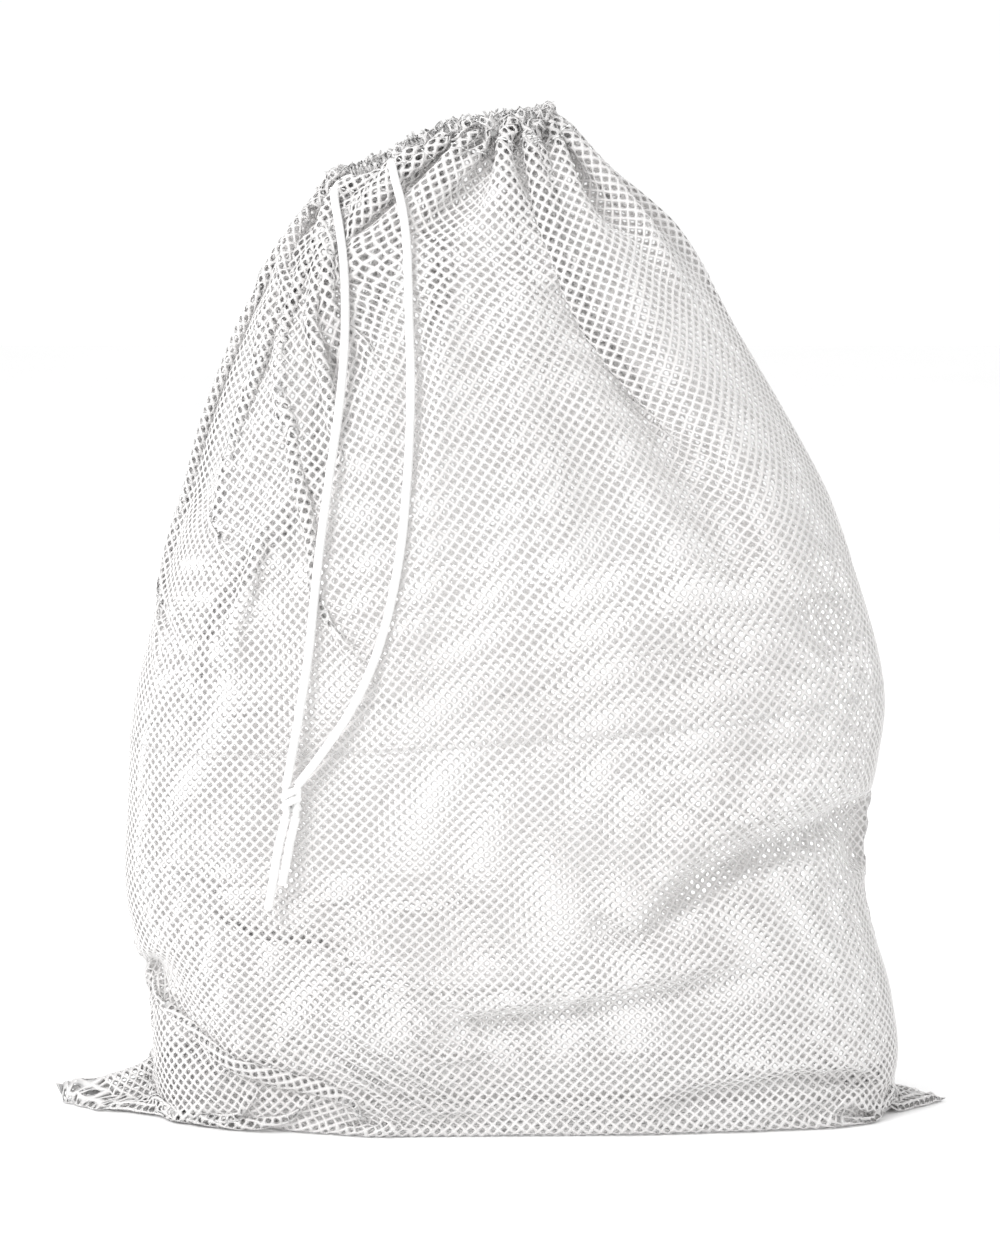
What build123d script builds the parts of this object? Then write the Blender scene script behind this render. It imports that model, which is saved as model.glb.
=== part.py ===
"""Mesh laundry bag standing filled, with its drawcord pulled in and tied at the front.

The bag is two flat panels of warp-knit mesh sewn together down both sides and along
the bottom. Its top edge is turned down into a channel, and one cord runs round inside
the channel and leaves it through two holes at the front left. The two cord ends are
tied together in a knot and hang against the front of the bag.

Millimetres, +Z up, front of the bag towards -Y. The origin is on the floor, at the
middle of the footprint, on the line of the bottom seam.
"""
import os
from math import atan2, cos, hypot, pi, radians, sin, tan

from build123d import *

os.makedirs("parts", exist_ok=True)

# ---------------------------------------------------------------- driving dimensions
WALL = 2.0  # solid that stands for the mesh cloth
FLOOR_SEAM_HALF = 295.0  # bottom seam, from the middle to each corner's tip
SEAM_DEPTH = 5.0  # turned-in seam edge, on the inside of the bag
SEAM_THICK = 2.4

CORD = 5.5  # drawcord diameter
TUNNEL_PLAY = 0.7  # radial room for the cord inside its channel
BEND_SHARE = 0.45  # of the shorter run that a cord's bend may use up

MOUTH_X = -32.0  # middle of the gathered mouth, at the channel's lower edge
MOUTH_Z = 612.0
MOUTH_TILT = radians(18.0)  # the mouth leans down to the left
CHANNEL_LONG = 144.0
CHANNEL_DEEP = 60.0
CHANNEL_THICK = 14.0
CHANNEL_TALL = 24.0
CHANNEL_ROUND = 5.0

STITCH = 0.8  # sewing thread
STITCH_HEIGHT = 1.6  # of the thread row above the channel's lower edge

KNOT_WIDE = 14.0
KNOT_DEEP = 11.0
KNOT_TALL = 19.0
KNOT_MIDDLE = (-131.0, -125.5, 222.5)

# Cross-sections of the filled bag, from the floor to the channel. Each is the left edge
# (x, z), the right edge (x, z), half the depth, and how square the outline is: 2 is an
# ellipse and larger is boxier.
NECK_ACROSS = CHANNEL_LONG / 2 * cos(MOUTH_TILT)
NECK_RISE = CHANNEL_LONG / 2 * sin(MOUTH_TILT)
SECTIONS = [
    ((-224, 0), (250, 0), 100, 3.6),
    ((-226, 25), (259, 25), 106, 3.4),
    ((-228, 75), (256, 75), 111, 3.1),
    ((-244, 140), (238, 140), 120, 2.7),
    ((-243, 205), (243, 205), 127, 2.5),
    ((-238, 270), (250, 270), 131, 2.4),
    ((-221, 335), (236, 335), 130, 2.3),
    ((-200, 400), (210, 400), 121, 2.2),
    ((-181, 465), (177, 465), 105, 2.1),
    ((-153, 530), (138, 530), 79, 2.1),
    ((-127, 572), (106, 572), 56, 2.1),
    ((-110, 585), (74, 610), 41, 2.2),
    ((MOUTH_X - NECK_ACROSS, MOUTH_Z - NECK_RISE), (MOUTH_X + NECK_ACROSS, MOUTH_Z + NECK_RISE), 30, 2.5),
]
OUTLINE_POINTS = 20

# The free bottom corners: flat double cloth that the filling doesn't reach. Outlines
# on the floor, with the tip in the middle of each list, and how high each stands.
LEFT_CORNER = [(-200, 76), (-288, 26), (-FLOOR_SEAM_HALF, 4), (-284, -20), (-200, -60)]
LEFT_CORNER_TALL = 16.0
RIGHT_CORNER = [(225, -72), (280, -13), (FLOOR_SEAM_HALF, 0), (280, 12), (225, 52)]
RIGHT_CORNER_TALL = 8.0
CORNER_TAPER = 25.0  # degrees, so the free corners thin out towards their edges

# Routes of the drawcord's two free legs, from the holes in the channel to the knot,
# and of the two short ends below the knot.
LEFT_LEG = [
    (-102.2, -20.4, 603.9),
    (-105.4, -25.4, 600.8),
    (-105.2, -32.6, 593.5),
    (-101.5, -43.5, 577.5),
    (-98, -60, 551),
    (-97, -79.8, 512),
    (-100, -94.8, 471),
    (-108, -108.4, 417),
    (-114.5, -117.4, 368),
    (-119, -123.6, 318),
    (-126.5, -126.4, 272),
    (-134, -125.4, 232.3),
]
RIGHT_LEG = [
    (-68.7, -34, 618),
    (-68.2, -39.5, 614.9),
    (-66, -44.8, 606.5),
    (-61.5, -52, 591),
    (-58.3, -64, 567),
    (-57.2, -83.5, 528),
    (-55.3, -102.4, 482),
    (-57, -117, 432),
    (-61.5, -127, 380),
    (-72, -131.8, 329),
    (-88, -132.8, 289),
    (-109.5, -130.6, 256),
    (-126.8, -127, 233.6),
]
LEFT_END = [(-134.4, -125, 212.8), (-139.7, -123, 193.5), (-142.4, -120.4, 172.4), (-146.4, -117.6, 152.6)]
RIGHT_END = [(-128, -125, 212.8), (-131.6, -124.3, 198.8), (-134.3, -122.2, 183), (-137.2, -121, 169)]


# ------------------------------------------------------------------------- helpers
def on_outline(half_width, half_depth, squareness, turn):
    """Point of a cross-section's outline, in its own plane, at an angle in radians."""
    across = abs(cos(turn)) ** (2 / squareness)
    deep = abs(sin(turn)) ** (2 / squareness)
    return (
        half_width * across * (1 if cos(turn) >= 0 else -1),
        half_depth * deep * (1 if sin(turn) >= 0 else -1),
    )


def filled_bag(inset):
    """Closed solid of the filled bag up to the channel, drawn in by inset all round."""
    with BuildPart() as body:
        for number, (left, right, half_depth, squareness) in enumerate(SECTIONS):
            rise = inset if number == 0 else 0
            middle = Vector((left[0] + right[0]) / 2, 0, (left[1] + right[1]) / 2 + rise)
            half_width = hypot(right[0] - left[0], right[1] - left[1]) / 2 - inset
            tilt = atan2(right[1] - left[1], right[0] - left[0])
            level = Plane(middle, x_dir=(cos(tilt), 0, sin(tilt)), z_dir=(-sin(tilt), 0, cos(tilt)))
            with BuildSketch(level):
                with BuildLine():
                    Spline(
                        [
                            on_outline(half_width, half_depth - inset, squareness, 2 * pi * step / OUTLINE_POINTS)
                            for step in range(OUTLINE_POINTS)
                        ],
                        periodic=True,
                    )
                make_face()
        loft()
    return body.part


def corner(outline, tall):
    """Solid of one free bottom corner, standing on the floor."""
    with BuildPart() as flap:
        with BuildSketch():
            with BuildLine():
                Polyline(outline, close=True)
            make_face()
        extrude(amount=tall, taper=CORNER_TAPER)
    return flap.part


def bend_radii(points):
    """Largest even bends the runs allow: a share of the shorter run over tan(half turn)."""
    radii = []
    for before, here, after in zip(points, points[1:], points[2:]):
        run_in = Vector(*here) - Vector(*before)
        run_out = Vector(*after) - Vector(*here)
        half_turn = radians(run_in.get_angle(run_out)) / 2
        radii.append(BEND_SHARE * min(run_in.length, run_out.length) / tan(half_turn))
    return radii


def cord_path(points):
    """Straight runs joined by tangent arcs."""
    with BuildLine() as route:
        FilletPolyline(points, radius=bend_radii(points))
    return route.wires()[0]


def cord_tube(points, diameter):
    """Solid of a cord along its route."""
    path = cord_path(points)
    with BuildPart() as tube:
        with BuildSketch(Plane(path @ 0, z_dir=path % 0)):
            Circle(diameter / 2)
        sweep(path=path)
    return tube.part


def write(piece, name):
    piece.part.label = name
    export_step(piece.part, f"parts/{name}.step")


# ------------------------------------------------------------------- cloth of the bag
bag_outside = filled_bag(0)
bag_inside = filled_bag(WALL)
seam_inside = filled_bag(WALL + SEAM_DEPTH)
left_corner = corner(LEFT_CORNER, LEFT_CORNER_TALL)
right_corner = corner(RIGHT_CORNER, RIGHT_CORNER_TALL)

# Front panel: the mesh cloth in front of the seams, with the front of both corners.
with BuildPart() as front_panel:
    add([bag_outside, left_corner, right_corner])
    add(bag_inside, mode=Mode.SUBTRACT)
    split(bisect_by=Plane.XZ, keep=Keep.TOP)

# Back panel: the same cloth behind the seams.
with BuildPart() as back_panel:
    add([bag_outside, left_corner, right_corner])
    add(bag_inside, mode=Mode.SUBTRACT)
    split(bisect_by=Plane.XZ, keep=Keep.BOTTOM)

# Seams: the two panels' raw edges, turned in and overlocked, standing up inside the
# bag along its sides and its floor.
SEAM_FOOT = WALL + SEAM_DEPTH
MIDDLE_X = (SECTIONS[0][0][0] + SECTIONS[0][1][0]) / 2
SLAB_LONG = 400.0  # plane pieces that cut the seams out of the cloth's inside
SLAB_TALL = 700.0
with BuildPart() as side_seam_left:
    add(bag_inside)
    add(seam_inside, mode=Mode.SUBTRACT)
    with Locations((MIDDLE_X - SLAB_LONG / 2, 0, SEAM_FOOT)):
        Box(SLAB_LONG, SEAM_THICK, SLAB_TALL, align=(Align.CENTER, Align.CENTER, Align.MIN), mode=Mode.INTERSECT)

with BuildPart() as side_seam_right:
    add(bag_inside)
    add(seam_inside, mode=Mode.SUBTRACT)
    with Locations((MIDDLE_X + SLAB_LONG / 2, 0, SEAM_FOOT)):
        Box(SLAB_LONG, SEAM_THICK, SLAB_TALL, align=(Align.CENTER, Align.CENTER, Align.MIN), mode=Mode.INTERSECT)

with BuildPart() as bottom_seam:
    add(bag_inside)
    with Locations((MIDDLE_X, 0, 0)):
        Box(2 * SLAB_LONG, SEAM_THICK, SEAM_FOOT, align=(Align.CENTER, Align.CENTER, Align.MIN), mode=Mode.INTERSECT)

# --------------------------------------------------------------- channel and its cord
mouth = Plane(
    (MOUTH_X, 0, MOUTH_Z),
    x_dir=(cos(MOUTH_TILT), 0, sin(MOUTH_TILT)),
    z_dir=(-sin(MOUTH_TILT), 0, cos(MOUTH_TILT)),
)
TUNNEL_HEIGHT = 15.0
BAND_ROUND = CHANNEL_DEEP / 2  # radius of the band's outer ends
CORD_ROUND = BAND_ROUND - CHANNEL_THICK / 2  # radius of the cord's run round the ends
STRAIGHT_HALF = CHANNEL_LONG / 2 - BAND_ROUND
LEFT_HOLE_TURN = radians(217)
RIGHT_HOLE_X = -33.0
STUB = CORD / 6  # how far the cord's cut ends stand out of the band
TUNNEL_SWELL = 1.04  # arcs cut the corners of the route, so its corners stand further out


def round_end(side, radius, turn):
    """Point on the channel's rounded end, in the mouth's own plane."""
    return (side * STRAIGHT_HALF + radius * cos(turn), radius * sin(turn), 0)


def channel_route():
    """Cord's run round the channel, with its ends standing a little out of the band."""
    points = [round_end(-1, BAND_ROUND + STUB, LEFT_HOLE_TURN), round_end(-1, CORD_ROUND, LEFT_HOLE_TURN)]
    points += [round_end(-1, CORD_ROUND * TUNNEL_SWELL, radians(turn)) for turn in (178, 138, 98)]
    points += [round_end(1, CORD_ROUND * TUNNEL_SWELL, radians(turn)) for turn in (82, 42, 2, -38, -78)]
    points += [(RIGHT_HOLE_X, -CORD_ROUND, 0), (RIGHT_HOLE_X, -BAND_ROUND - STUB, 0)]
    level = mouth.offset(TUNNEL_HEIGHT)
    return [tuple(level.from_local_coords(Vector(*point))) for point in points]


channel_cord_route = channel_route()
tunnel = cord_tube(channel_cord_route, CORD + 2 * TUNNEL_PLAY)

# Channel: the turned-down top edge of the cloth, gathered on the cord.
with BuildPart() as drawcord_channel:
    with BuildSketch(mouth):
        SlotOverall(CHANNEL_LONG, CHANNEL_DEEP)
        SlotOverall(CHANNEL_LONG - 2 * CHANNEL_THICK, CHANNEL_DEEP - 2 * CHANNEL_THICK, mode=Mode.SUBTRACT)
    extrude(amount=CHANNEL_TALL)
    fillet(faces().sort_by(Axis((0, 0, 0), mouth.z_dir))[-1].edges(), CHANNEL_ROUND)
    add(tunnel, mode=Mode.SUBTRACT)

# Sewing thread that closes the channel along its lower edge.
with BuildPart() as hem_stitching:
    with BuildSketch(mouth.offset(STITCH_HEIGHT)):
        SlotOverall(CHANNEL_LONG + 2 * STITCH, CHANNEL_DEEP + 2 * STITCH)
        SlotOverall(CHANNEL_LONG, CHANNEL_DEEP, mode=Mode.SUBTRACT)
    extrude(amount=STITCH)

# The drawcord's stretch inside the channel.
with BuildPart() as channel_cord:
    add(cord_tube(channel_cord_route, CORD))

# ---------------------------------------------------- free legs, knot and short ends
with BuildPart() as cord_leg_left:
    add(cord_tube(LEFT_LEG, CORD))
    with Locations(LEFT_LEG[0]):
        Sphere(CORD / 2)

with BuildPart() as cord_leg_right:
    add(cord_tube(RIGHT_LEG, CORD))
    with Locations(RIGHT_LEG[0]):
        Sphere(CORD / 2)

with BuildPart() as cord_end_left:
    add(cord_tube(LEFT_END, CORD))

with BuildPart() as cord_end_right:
    add(cord_tube(RIGHT_END, CORD))

# Knot: both ends tied together, as one closed lump.
with BuildPart() as cord_knot:
    with BuildSketch(Plane(KNOT_MIDDLE).offset(-KNOT_TALL / 2)):
        Ellipse(KNOT_WIDE / 2, KNOT_DEEP / 2)
    extrude(amount=KNOT_TALL)
    fillet(edges(), KNOT_DEEP / 3)
    for strand in (cord_leg_left, cord_leg_right, cord_end_left, cord_end_right):
        add(strand.part, mode=Mode.SUBTRACT)

# --------------------------------------------------------------------------- output
for name, piece in {
    "front_panel": front_panel,
    "back_panel": back_panel,
    "side_seam_left": side_seam_left,
    "side_seam_right": side_seam_right,
    "bottom_seam": bottom_seam,
    "drawcord_channel": drawcord_channel,
    "hem_stitching": hem_stitching,
    "channel_cord": channel_cord,
    "cord_leg_left": cord_leg_left,
    "cord_leg_right": cord_leg_right,
    "cord_knot": cord_knot,
    "cord_end_left": cord_end_left,
    "cord_end_right": cord_end_right,
}.items():
    write(piece, name)

CORD_AREA = pi * (CORD / 2) ** 2
for name, route in {
    "left leg": LEFT_LEG,
    "right leg": RIGHT_LEG,
    "left end": LEFT_END,
    "right end": RIGHT_END,
    "in channel": channel_cord_route,
}.items():
    path = cord_path(route)
    tube = cord_tube(route, CORD)
    radii = " ".join(f"{radius:.0f}" for radius in bend_radii(route))
    print(f"{name}: length {path.length:.1f}, volume over section {tube.volume / CORD_AREA:.1f}, bends {radii}")
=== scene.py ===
"""Looks of the mesh laundry bag: draped net cloth, gathered channel, seams and drawcord.

The cloth is one tube of flat mesh, 1220 mm round and sewn shut along the bottom. A small
position-based simulation drapes it over the shape of its filling, with its top edge held
gathered on the cord. The net's holes are then built as real geometry on the drape.
"""

from math import cos, pi, radians, sin

import bpy
import numpy as np
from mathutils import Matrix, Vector


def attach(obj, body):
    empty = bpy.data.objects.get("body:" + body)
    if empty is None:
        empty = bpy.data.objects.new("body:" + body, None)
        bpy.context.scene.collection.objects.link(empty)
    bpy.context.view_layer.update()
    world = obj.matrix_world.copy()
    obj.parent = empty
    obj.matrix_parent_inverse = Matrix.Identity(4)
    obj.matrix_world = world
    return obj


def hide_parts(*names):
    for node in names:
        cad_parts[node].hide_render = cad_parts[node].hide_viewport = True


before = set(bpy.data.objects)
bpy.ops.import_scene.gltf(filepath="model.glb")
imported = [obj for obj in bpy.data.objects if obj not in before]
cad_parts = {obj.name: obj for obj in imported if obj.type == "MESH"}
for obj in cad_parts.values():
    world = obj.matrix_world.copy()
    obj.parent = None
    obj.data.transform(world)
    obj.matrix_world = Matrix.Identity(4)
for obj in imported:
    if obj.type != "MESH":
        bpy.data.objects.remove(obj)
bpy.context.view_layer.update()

# ------------------------------------------------------------- driving sizes, metres
ROUND = 1.22  # flat tube's circumference
TALL = 0.768  # flat tube, bottom seam to the folded top edge
SEAM_HALF = 0.295  # bottom seam, middle to corner tip, as it lies
FLOOR_REACH = 0.100  # cloth under the filling, seam to the front edge
NECK_CLOTH = TALL - 0.09  # flat cloth from the bottom seam to the top of the filling

CHANNEL_BAND = 0.024
CORD_BELOW_TOP = 0.009
MOUTH_X, MOUTH_Z, MOUTH_TILT = -0.032, 0.612, radians(18)
CORD_RISE = 0.015  # of the cord above the channel's lower edge
RING_STRAIGHT, RING_ROUND = 0.042, 0.023

CORD = 0.0055
CORD_STEP = 0.0005  # between the rings of a cord's mesh
CORD_SIDES = 28
HOLE_COLUMNS = 164  # round the tube
ROW_PITCH = 0.00346
CLOTH_THICK = 0.0008

# The drawcord's route points, as in the CAD model.
MM = 0.001
LEFT_LEG = [
    (-102.2, -20.4, 603.9), (-105.4, -25.4, 600.8), (-105.2, -32.6, 593.5), (-101.5, -43.5, 577.5),
    (-98, -60, 551), (-97, -79.8, 512), (-100, -94.8, 471), (-108, -108.4, 417),
    (-114.5, -117.4, 368), (-119, -123.6, 318), (-126.5, -126.4, 272), (-134, -125.4, 232.3),
]
RIGHT_LEG = [
    (-68.7, -34, 618), (-68.2, -39.5, 614.9), (-66, -44.8, 606.5), (-61.5, -52, 591),
    (-58.3, -64, 567), (-57.2, -83.5, 528), (-55.3, -102.4, 482), (-57, -117, 432),
    (-61.5, -127, 380), (-72, -131.8, 329), (-88, -132.8, 289), (-109.5, -130.6, 256),
    (-126.8, -127, 233.6),
]
LEFT_END = [(-134.4, -125, 212.8), (-139.7, -123, 193.5), (-142.4, -120.4, 172.4), (-146.4, -117.6, 152.6)]
RIGHT_END = [(-128, -125, 212.8), (-131.6, -124.3, 198.8), (-134.3, -122.2, 183), (-137.2, -121, 169)]
KNOT_MIDDLE = (-131.0, -125.5, 222.5)

chance = np.random.default_rng(11)


# ------------------------------------------------------------------------- materials
def shader(name):
    """New node material; returns it with its node tree and its Principled shader."""
    material = bpy.data.materials.new(name)
    material.use_nodes = True
    tree = material.node_tree
    return material, tree, tree.nodes["Principled BSDF"]


def link_bump(tree, target, height, strength, distance):
    """Small relief on a shader, from a texture's value."""
    bump = tree.nodes.new("ShaderNodeBump")
    bump.inputs["Strength"].default_value = strength
    bump.inputs["Distance"].default_value = distance
    tree.links.new(height, bump.inputs["Height"])
    tree.links.new(bump.outputs["Normal"], target.inputs["Normal"])


def noise(tree, scale, detail, place):
    """Soft random value over the places of a piece."""
    node = tree.nodes.new("ShaderNodeTexNoise")
    node.inputs["Scale"].default_value = scale
    node.inputs["Detail"].default_value = detail
    tree.links.new(place, node.inputs["Vector"])
    return node.outputs["Fac"]


def object_coordinates(tree):
    """Coordinates that stay with the piece."""
    return tree.nodes.new("ShaderNodeTexCoord").outputs["Object"]


def ramp(tree, factor, low, high, start=0.35, stop=0.65):
    """Colour from low to high as the factor goes from start to stop."""
    node = tree.nodes.new("ShaderNodeValToRGB")
    node.color_ramp.elements[0].position = start
    node.color_ramp.elements[0].color = (*low, 1)
    node.color_ramp.elements[1].position = stop
    node.color_ramp.elements[1].color = (*high, 1)
    tree.links.new(factor, node.inputs["Fac"])
    return node.outputs["Color"]


GLOW_DEPTH = 0.001  # how far light soaks into the yarn
FILAMENT_RELIEF = 0.0002


def yarn_material(name, low, high, roughness, patch=9.0, filament=2600.0, relief=0.35, glow=0.0):
    """Knitted or braided polyester yarn: soft patches of tone, filament relief, a little sheen.

    glow is the share of light that soaks into the yarn and shows on its other side.
    """
    material, tree, principled = shader(name)
    place = object_coordinates(tree)
    tone = noise(tree, patch, 4.0, place)
    tree.links.new(ramp(tree, tone, low, high), principled.inputs["Base Color"])
    for setting, value in (
        ("Roughness", roughness),
        ("Sheen Weight", 0.25),
        ("Sheen Roughness", 0.4),
        ("Specular IOR Level", 0.35),
        ("Subsurface Weight", glow),
        ("Subsurface Radius", (1, 1, 1)),
        ("Subsurface Scale", GLOW_DEPTH),
    ):
        principled.inputs[setting].default_value = value
    fibres = noise(tree, filament, 2.0, place)
    link_bump(tree, principled, fibres, relief, FILAMENT_RELIEF)
    return material


MESH_CLOTH = yarn_material(
    "warp_knit_polyester", (0.675, 0.662, 0.657), (0.735, 0.725, 0.72), 0.6, glow=0.7
)
CHANNEL_CLOTH = yarn_material(
    "channel_polyester", (0.65, 0.637, 0.632), (0.71, 0.70, 0.695), 0.62, glow=0.7
)
SEAM_CLOTH = yarn_material(
    "overlocked_edge", (0.68, 0.67, 0.665), (0.74, 0.73, 0.725), 0.65, 60.0, glow=0.5
)
THREAD = yarn_material("sewing_thread", (0.93, 0.93, 0.925), (0.97, 0.97, 0.965), 0.45, 300.0)
CORD_YARN = yarn_material("braided_cord", (0.87, 0.87, 0.865), (0.91, 0.91, 0.905), 0.5, 120.0)


def floor_material():
    """Even, pale and matt."""
    material, tree, principled = shader("pale_floor")
    tone = noise(tree, 1.2, 2.0, object_coordinates(tree))
    colour = ramp(tree, tone, (0.955, 0.955, 0.955), (0.975, 0.975, 0.975))
    tree.links.new(colour, principled.inputs["Base Color"])
    principled.inputs["Roughness"].default_value = 0.9
    return material


# ----------------------------------------------------------------------- mesh making
def unit(vectors):
    """The same vectors, each of length 1."""
    return vectors / (np.linalg.norm(vectors, axis=-1, keepdims=True) + 1e-12)


def new_object(name, data, material):
    """Object of a material, put into the scene."""
    piece = bpy.data.objects.new(name, data)
    bpy.context.scene.collection.objects.link(piece)
    data.materials.append(material)
    return piece


def mesh_from(name, points, quads, material, triangles=None):
    """Smooth-shaded mesh object from arrays of points, quads and triangles."""
    triangles = np.zeros((0, 3), int) if triangles is None else triangles
    mesh = bpy.data.meshes.new(name)
    mesh.vertices.add(len(points))
    mesh.vertices.foreach_set("co", np.asarray(points, np.float32).ravel())
    corners = np.concatenate([quads.ravel(), triangles.ravel()]).astype(np.int32)
    sizes = np.concatenate([np.full(len(quads), 4), np.full(len(triangles), 3)])
    starts = np.concatenate([[0], np.cumsum(sizes)[:-1]]).astype(np.int32)
    mesh.loops.add(len(corners))
    mesh.loops.foreach_set("vertex_index", corners)
    mesh.polygons.add(len(sizes))
    mesh.polygons.foreach_set("loop_start", starts)
    mesh.polygons.foreach_set("use_smooth", np.ones(len(sizes), bool))
    mesh.update(calc_edges=True)
    mesh.validate()
    return new_object(name, mesh, material)


def ring_quads(index):
    """Faces between rings of points; the numbers' last two axes are the ring and its points."""
    turned = np.roll(index, -1, -1)
    corners = (index[..., :-1, :], turned[..., :-1, :], turned[..., 1:, :], index[..., 1:, :])
    return np.stack(corners, -1).reshape(-1, 4)


def frames_along(path):
    """Two steady cross directions at each point of a path."""
    along = unit(np.gradient(path, axis=0))
    side = np.zeros_like(path)
    start = np.cross(along[0], (0.3, 0.2, 1.0))
    side[0] = start / np.linalg.norm(start)
    for step in range(1, len(path)):
        carried = side[step - 1] - along[step] * (side[step - 1] @ along[step])
        side[step] = carried / np.linalg.norm(carried)
    return side, np.cross(along, side)


def cord_mesh(name, path, radius):
    """Closed piece of cord round a path; radius is a function of turn and distance along."""
    side, up = frames_along(path)
    gone = np.concatenate([[0], np.cumsum(np.linalg.norm(np.diff(path, axis=0), axis=1))])
    turn, far = np.meshgrid(np.arange(CORD_SIDES) * 2 * pi / CORD_SIDES, gone)
    points = path[:, None] + radius(turn, far)[..., None] * (
        np.cos(turn)[..., None] * side[:, None] + np.sin(turn)[..., None] * up[:, None]
    )
    points = np.concatenate([points.reshape(-1, 3), path[:1], path[-1:]])
    index = np.arange(len(path) * CORD_SIDES).reshape(-1, CORD_SIDES)
    first, last = index.size, index.size + 1
    low, high = index[0], index[-1]
    triangles = np.concatenate([
        np.stack([np.full(CORD_SIDES, first), np.roll(low, -1), low], -1),
        np.stack([np.full(CORD_SIDES, last), high, np.roll(high, -1)], -1),
    ])
    return mesh_from(name, points, ring_quads(index), CORD_YARN, triangles)


# ------------------------------------------------------------ camera, lights and floor
# The view's middle and height where the bag stands, and the camera's distance and rise.
VIEW_CENTRE = (0.0, 0.0, 0.3170)
VIEW_TALL = 0.8125
VIEW_DISTANCE = 3.2
VIEW_RISE = radians(8)
SENSOR = 36.0

camera_data = bpy.data.cameras.new("camera")
camera_data.sensor_fit = "VERTICAL"
camera_data.sensor_height = SENSOR
camera_data.lens = SENSOR * VIEW_DISTANCE / VIEW_TALL
camera = bpy.data.objects.new("camera", camera_data)
bpy.context.scene.collection.objects.link(camera)
camera.location = (
    VIEW_CENTRE[0],
    VIEW_CENTRE[1] - VIEW_DISTANCE * cos(VIEW_RISE),
    VIEW_CENTRE[2] + VIEW_DISTANCE * sin(VIEW_RISE),
)
camera.rotation_euler = (pi / 2 - VIEW_RISE, 0, 0)
bpy.context.scene.camera = camera


def lamp(name, kind, place, power):
    """New lamp of one of Blender's kinds."""
    data = bpy.data.lights.new(name, kind)
    data.energy = power
    light = bpy.data.objects.new(name, data)
    bpy.context.scene.collection.objects.link(light)
    light.location = place
    return light


def area_light(name, place, aim, size, power):
    """Round studio lamp at a place, turned to its aim."""
    light = lamp(name, "AREA", place, power)
    light.data.shape = "DISK"
    light.data.size = size
    direction = Vector(aim) - Vector(place)
    light.rotation_euler = direction.to_track_quat("-Z", "Y").to_euler()


area_light("key_left", (-1.7, -1.9, 2.0), (0, 0, 0.3), 1.0, 50)
area_light("backdrop", (0, 2.6, 1.0), (0, 0, 0.4), 3.2, 28)

# Height, radius and watts of each lamp inside the bag.
INNER_LAMPS = ((0.13, 0.10, 0.19), (0.30, 0.11, 0.18), (0.45, 0.07, 0.04))


def inner_lamp(height, radius, power):
    """Soft lamp inside the bag: the light that its white filling would throw back."""
    light = lamp("inner_lamp", "POINT", (0, 0, height), power)
    light.data.shadow_soft_size = radius
    light.visible_camera = False


for height, radius, power in INNER_LAMPS:
    inner_lamp(height, radius, power)

world = bpy.data.worlds.new("studio")
world.use_nodes = True
background = world.node_tree.nodes["Background"]
background.inputs["Color"].default_value = (1, 1, 1, 1)
background.inputs["Strength"].default_value = 1.02
bpy.context.scene.world = world
bpy.context.scene.view_settings.view_transform = "Standard"

FLOOR_HALF = 6.0
floor = mesh_from(
    "floor",
    np.array([(-1, -1, 0), (1, -1, 0), (1, 1, 0), (-1, 1, 0)]) * FLOOR_HALF,
    np.array([[0, 1, 2, 3]]),
    floor_material(),
)


# ------------------------------------------------------------------------- the cords
def route_line(points):
    """The smooth line of a cord, read from its NURBS spline."""
    data = bpy.data.curves.new("line", "CURVE")
    data.dimensions = "3D"
    data.resolution_u = 24
    nurbs_spline(data, points)
    holder = bpy.data.objects.new("line", data)
    bpy.context.scene.collection.objects.link(holder)
    bpy.context.view_layer.update()
    line = bpy.data.meshes.new_from_object(holder)
    path = np.zeros(len(line.vertices) * 3)
    line.vertices.foreach_get("co", path)
    bpy.data.objects.remove(holder)
    bpy.data.meshes.remove(line)
    bpy.data.curves.remove(data)
    return path.reshape(-1, 3)


def nurbs_spline(data, points):
    """Spline through a cord's route points, which are in millimetres."""
    spline = data.splines.new("NURBS")
    spline.points.add(len(points) - 1)
    for target, point in zip(spline.points, points):
        target.co = (point[0] * MM, point[1] * MM, point[2] * MM, 1)
    spline.order_u = 3
    spline.use_endpoint_u = True


def evenly(path, step):
    """The same path with points every step metres."""
    gone = np.concatenate([[0], np.cumsum(np.linalg.norm(np.diff(path, axis=0), axis=1))])
    where = np.linspace(0, gone[-1], max(4, int(gone[-1] / step)))
    return np.stack([np.interp(where, gone, path[:, axis]) for axis in range(3)], -1)


BRAID_STRANDS = 8
BRAID_LAY = 0.013  # distance along the cord for one turn of a strand


def braid(turn, far):
    """Radius of a round braid: two sets of strands crossing each other."""
    one = np.cos(BRAID_STRANDS * turn + 2 * pi * BRAID_STRANDS * far / BRAID_LAY)
    other = np.cos(BRAID_STRANDS * turn - 2 * pi * BRAID_STRANDS * far / BRAID_LAY)
    return CORD / 2 * (0.965 + 0.045 * np.maximum(one, other))


def braided_cord(name, points):
    """Cord piece along its route; returns it with the path it follows."""
    path = evenly(route_line(points), CORD_STEP)
    return cord_mesh(name, path, braid), path


left_leg, left_path = braided_cord("cord_left_leg_braid", LEFT_LEG)
right_leg, right_path = braided_cord("cord_right_leg_braid", RIGHT_LEG)
left_end, left_end_path = braided_cord("cord_left_end_braid", LEFT_END)
right_end, right_end_path = braided_cord("cord_right_end_braid", RIGHT_END)


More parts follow.
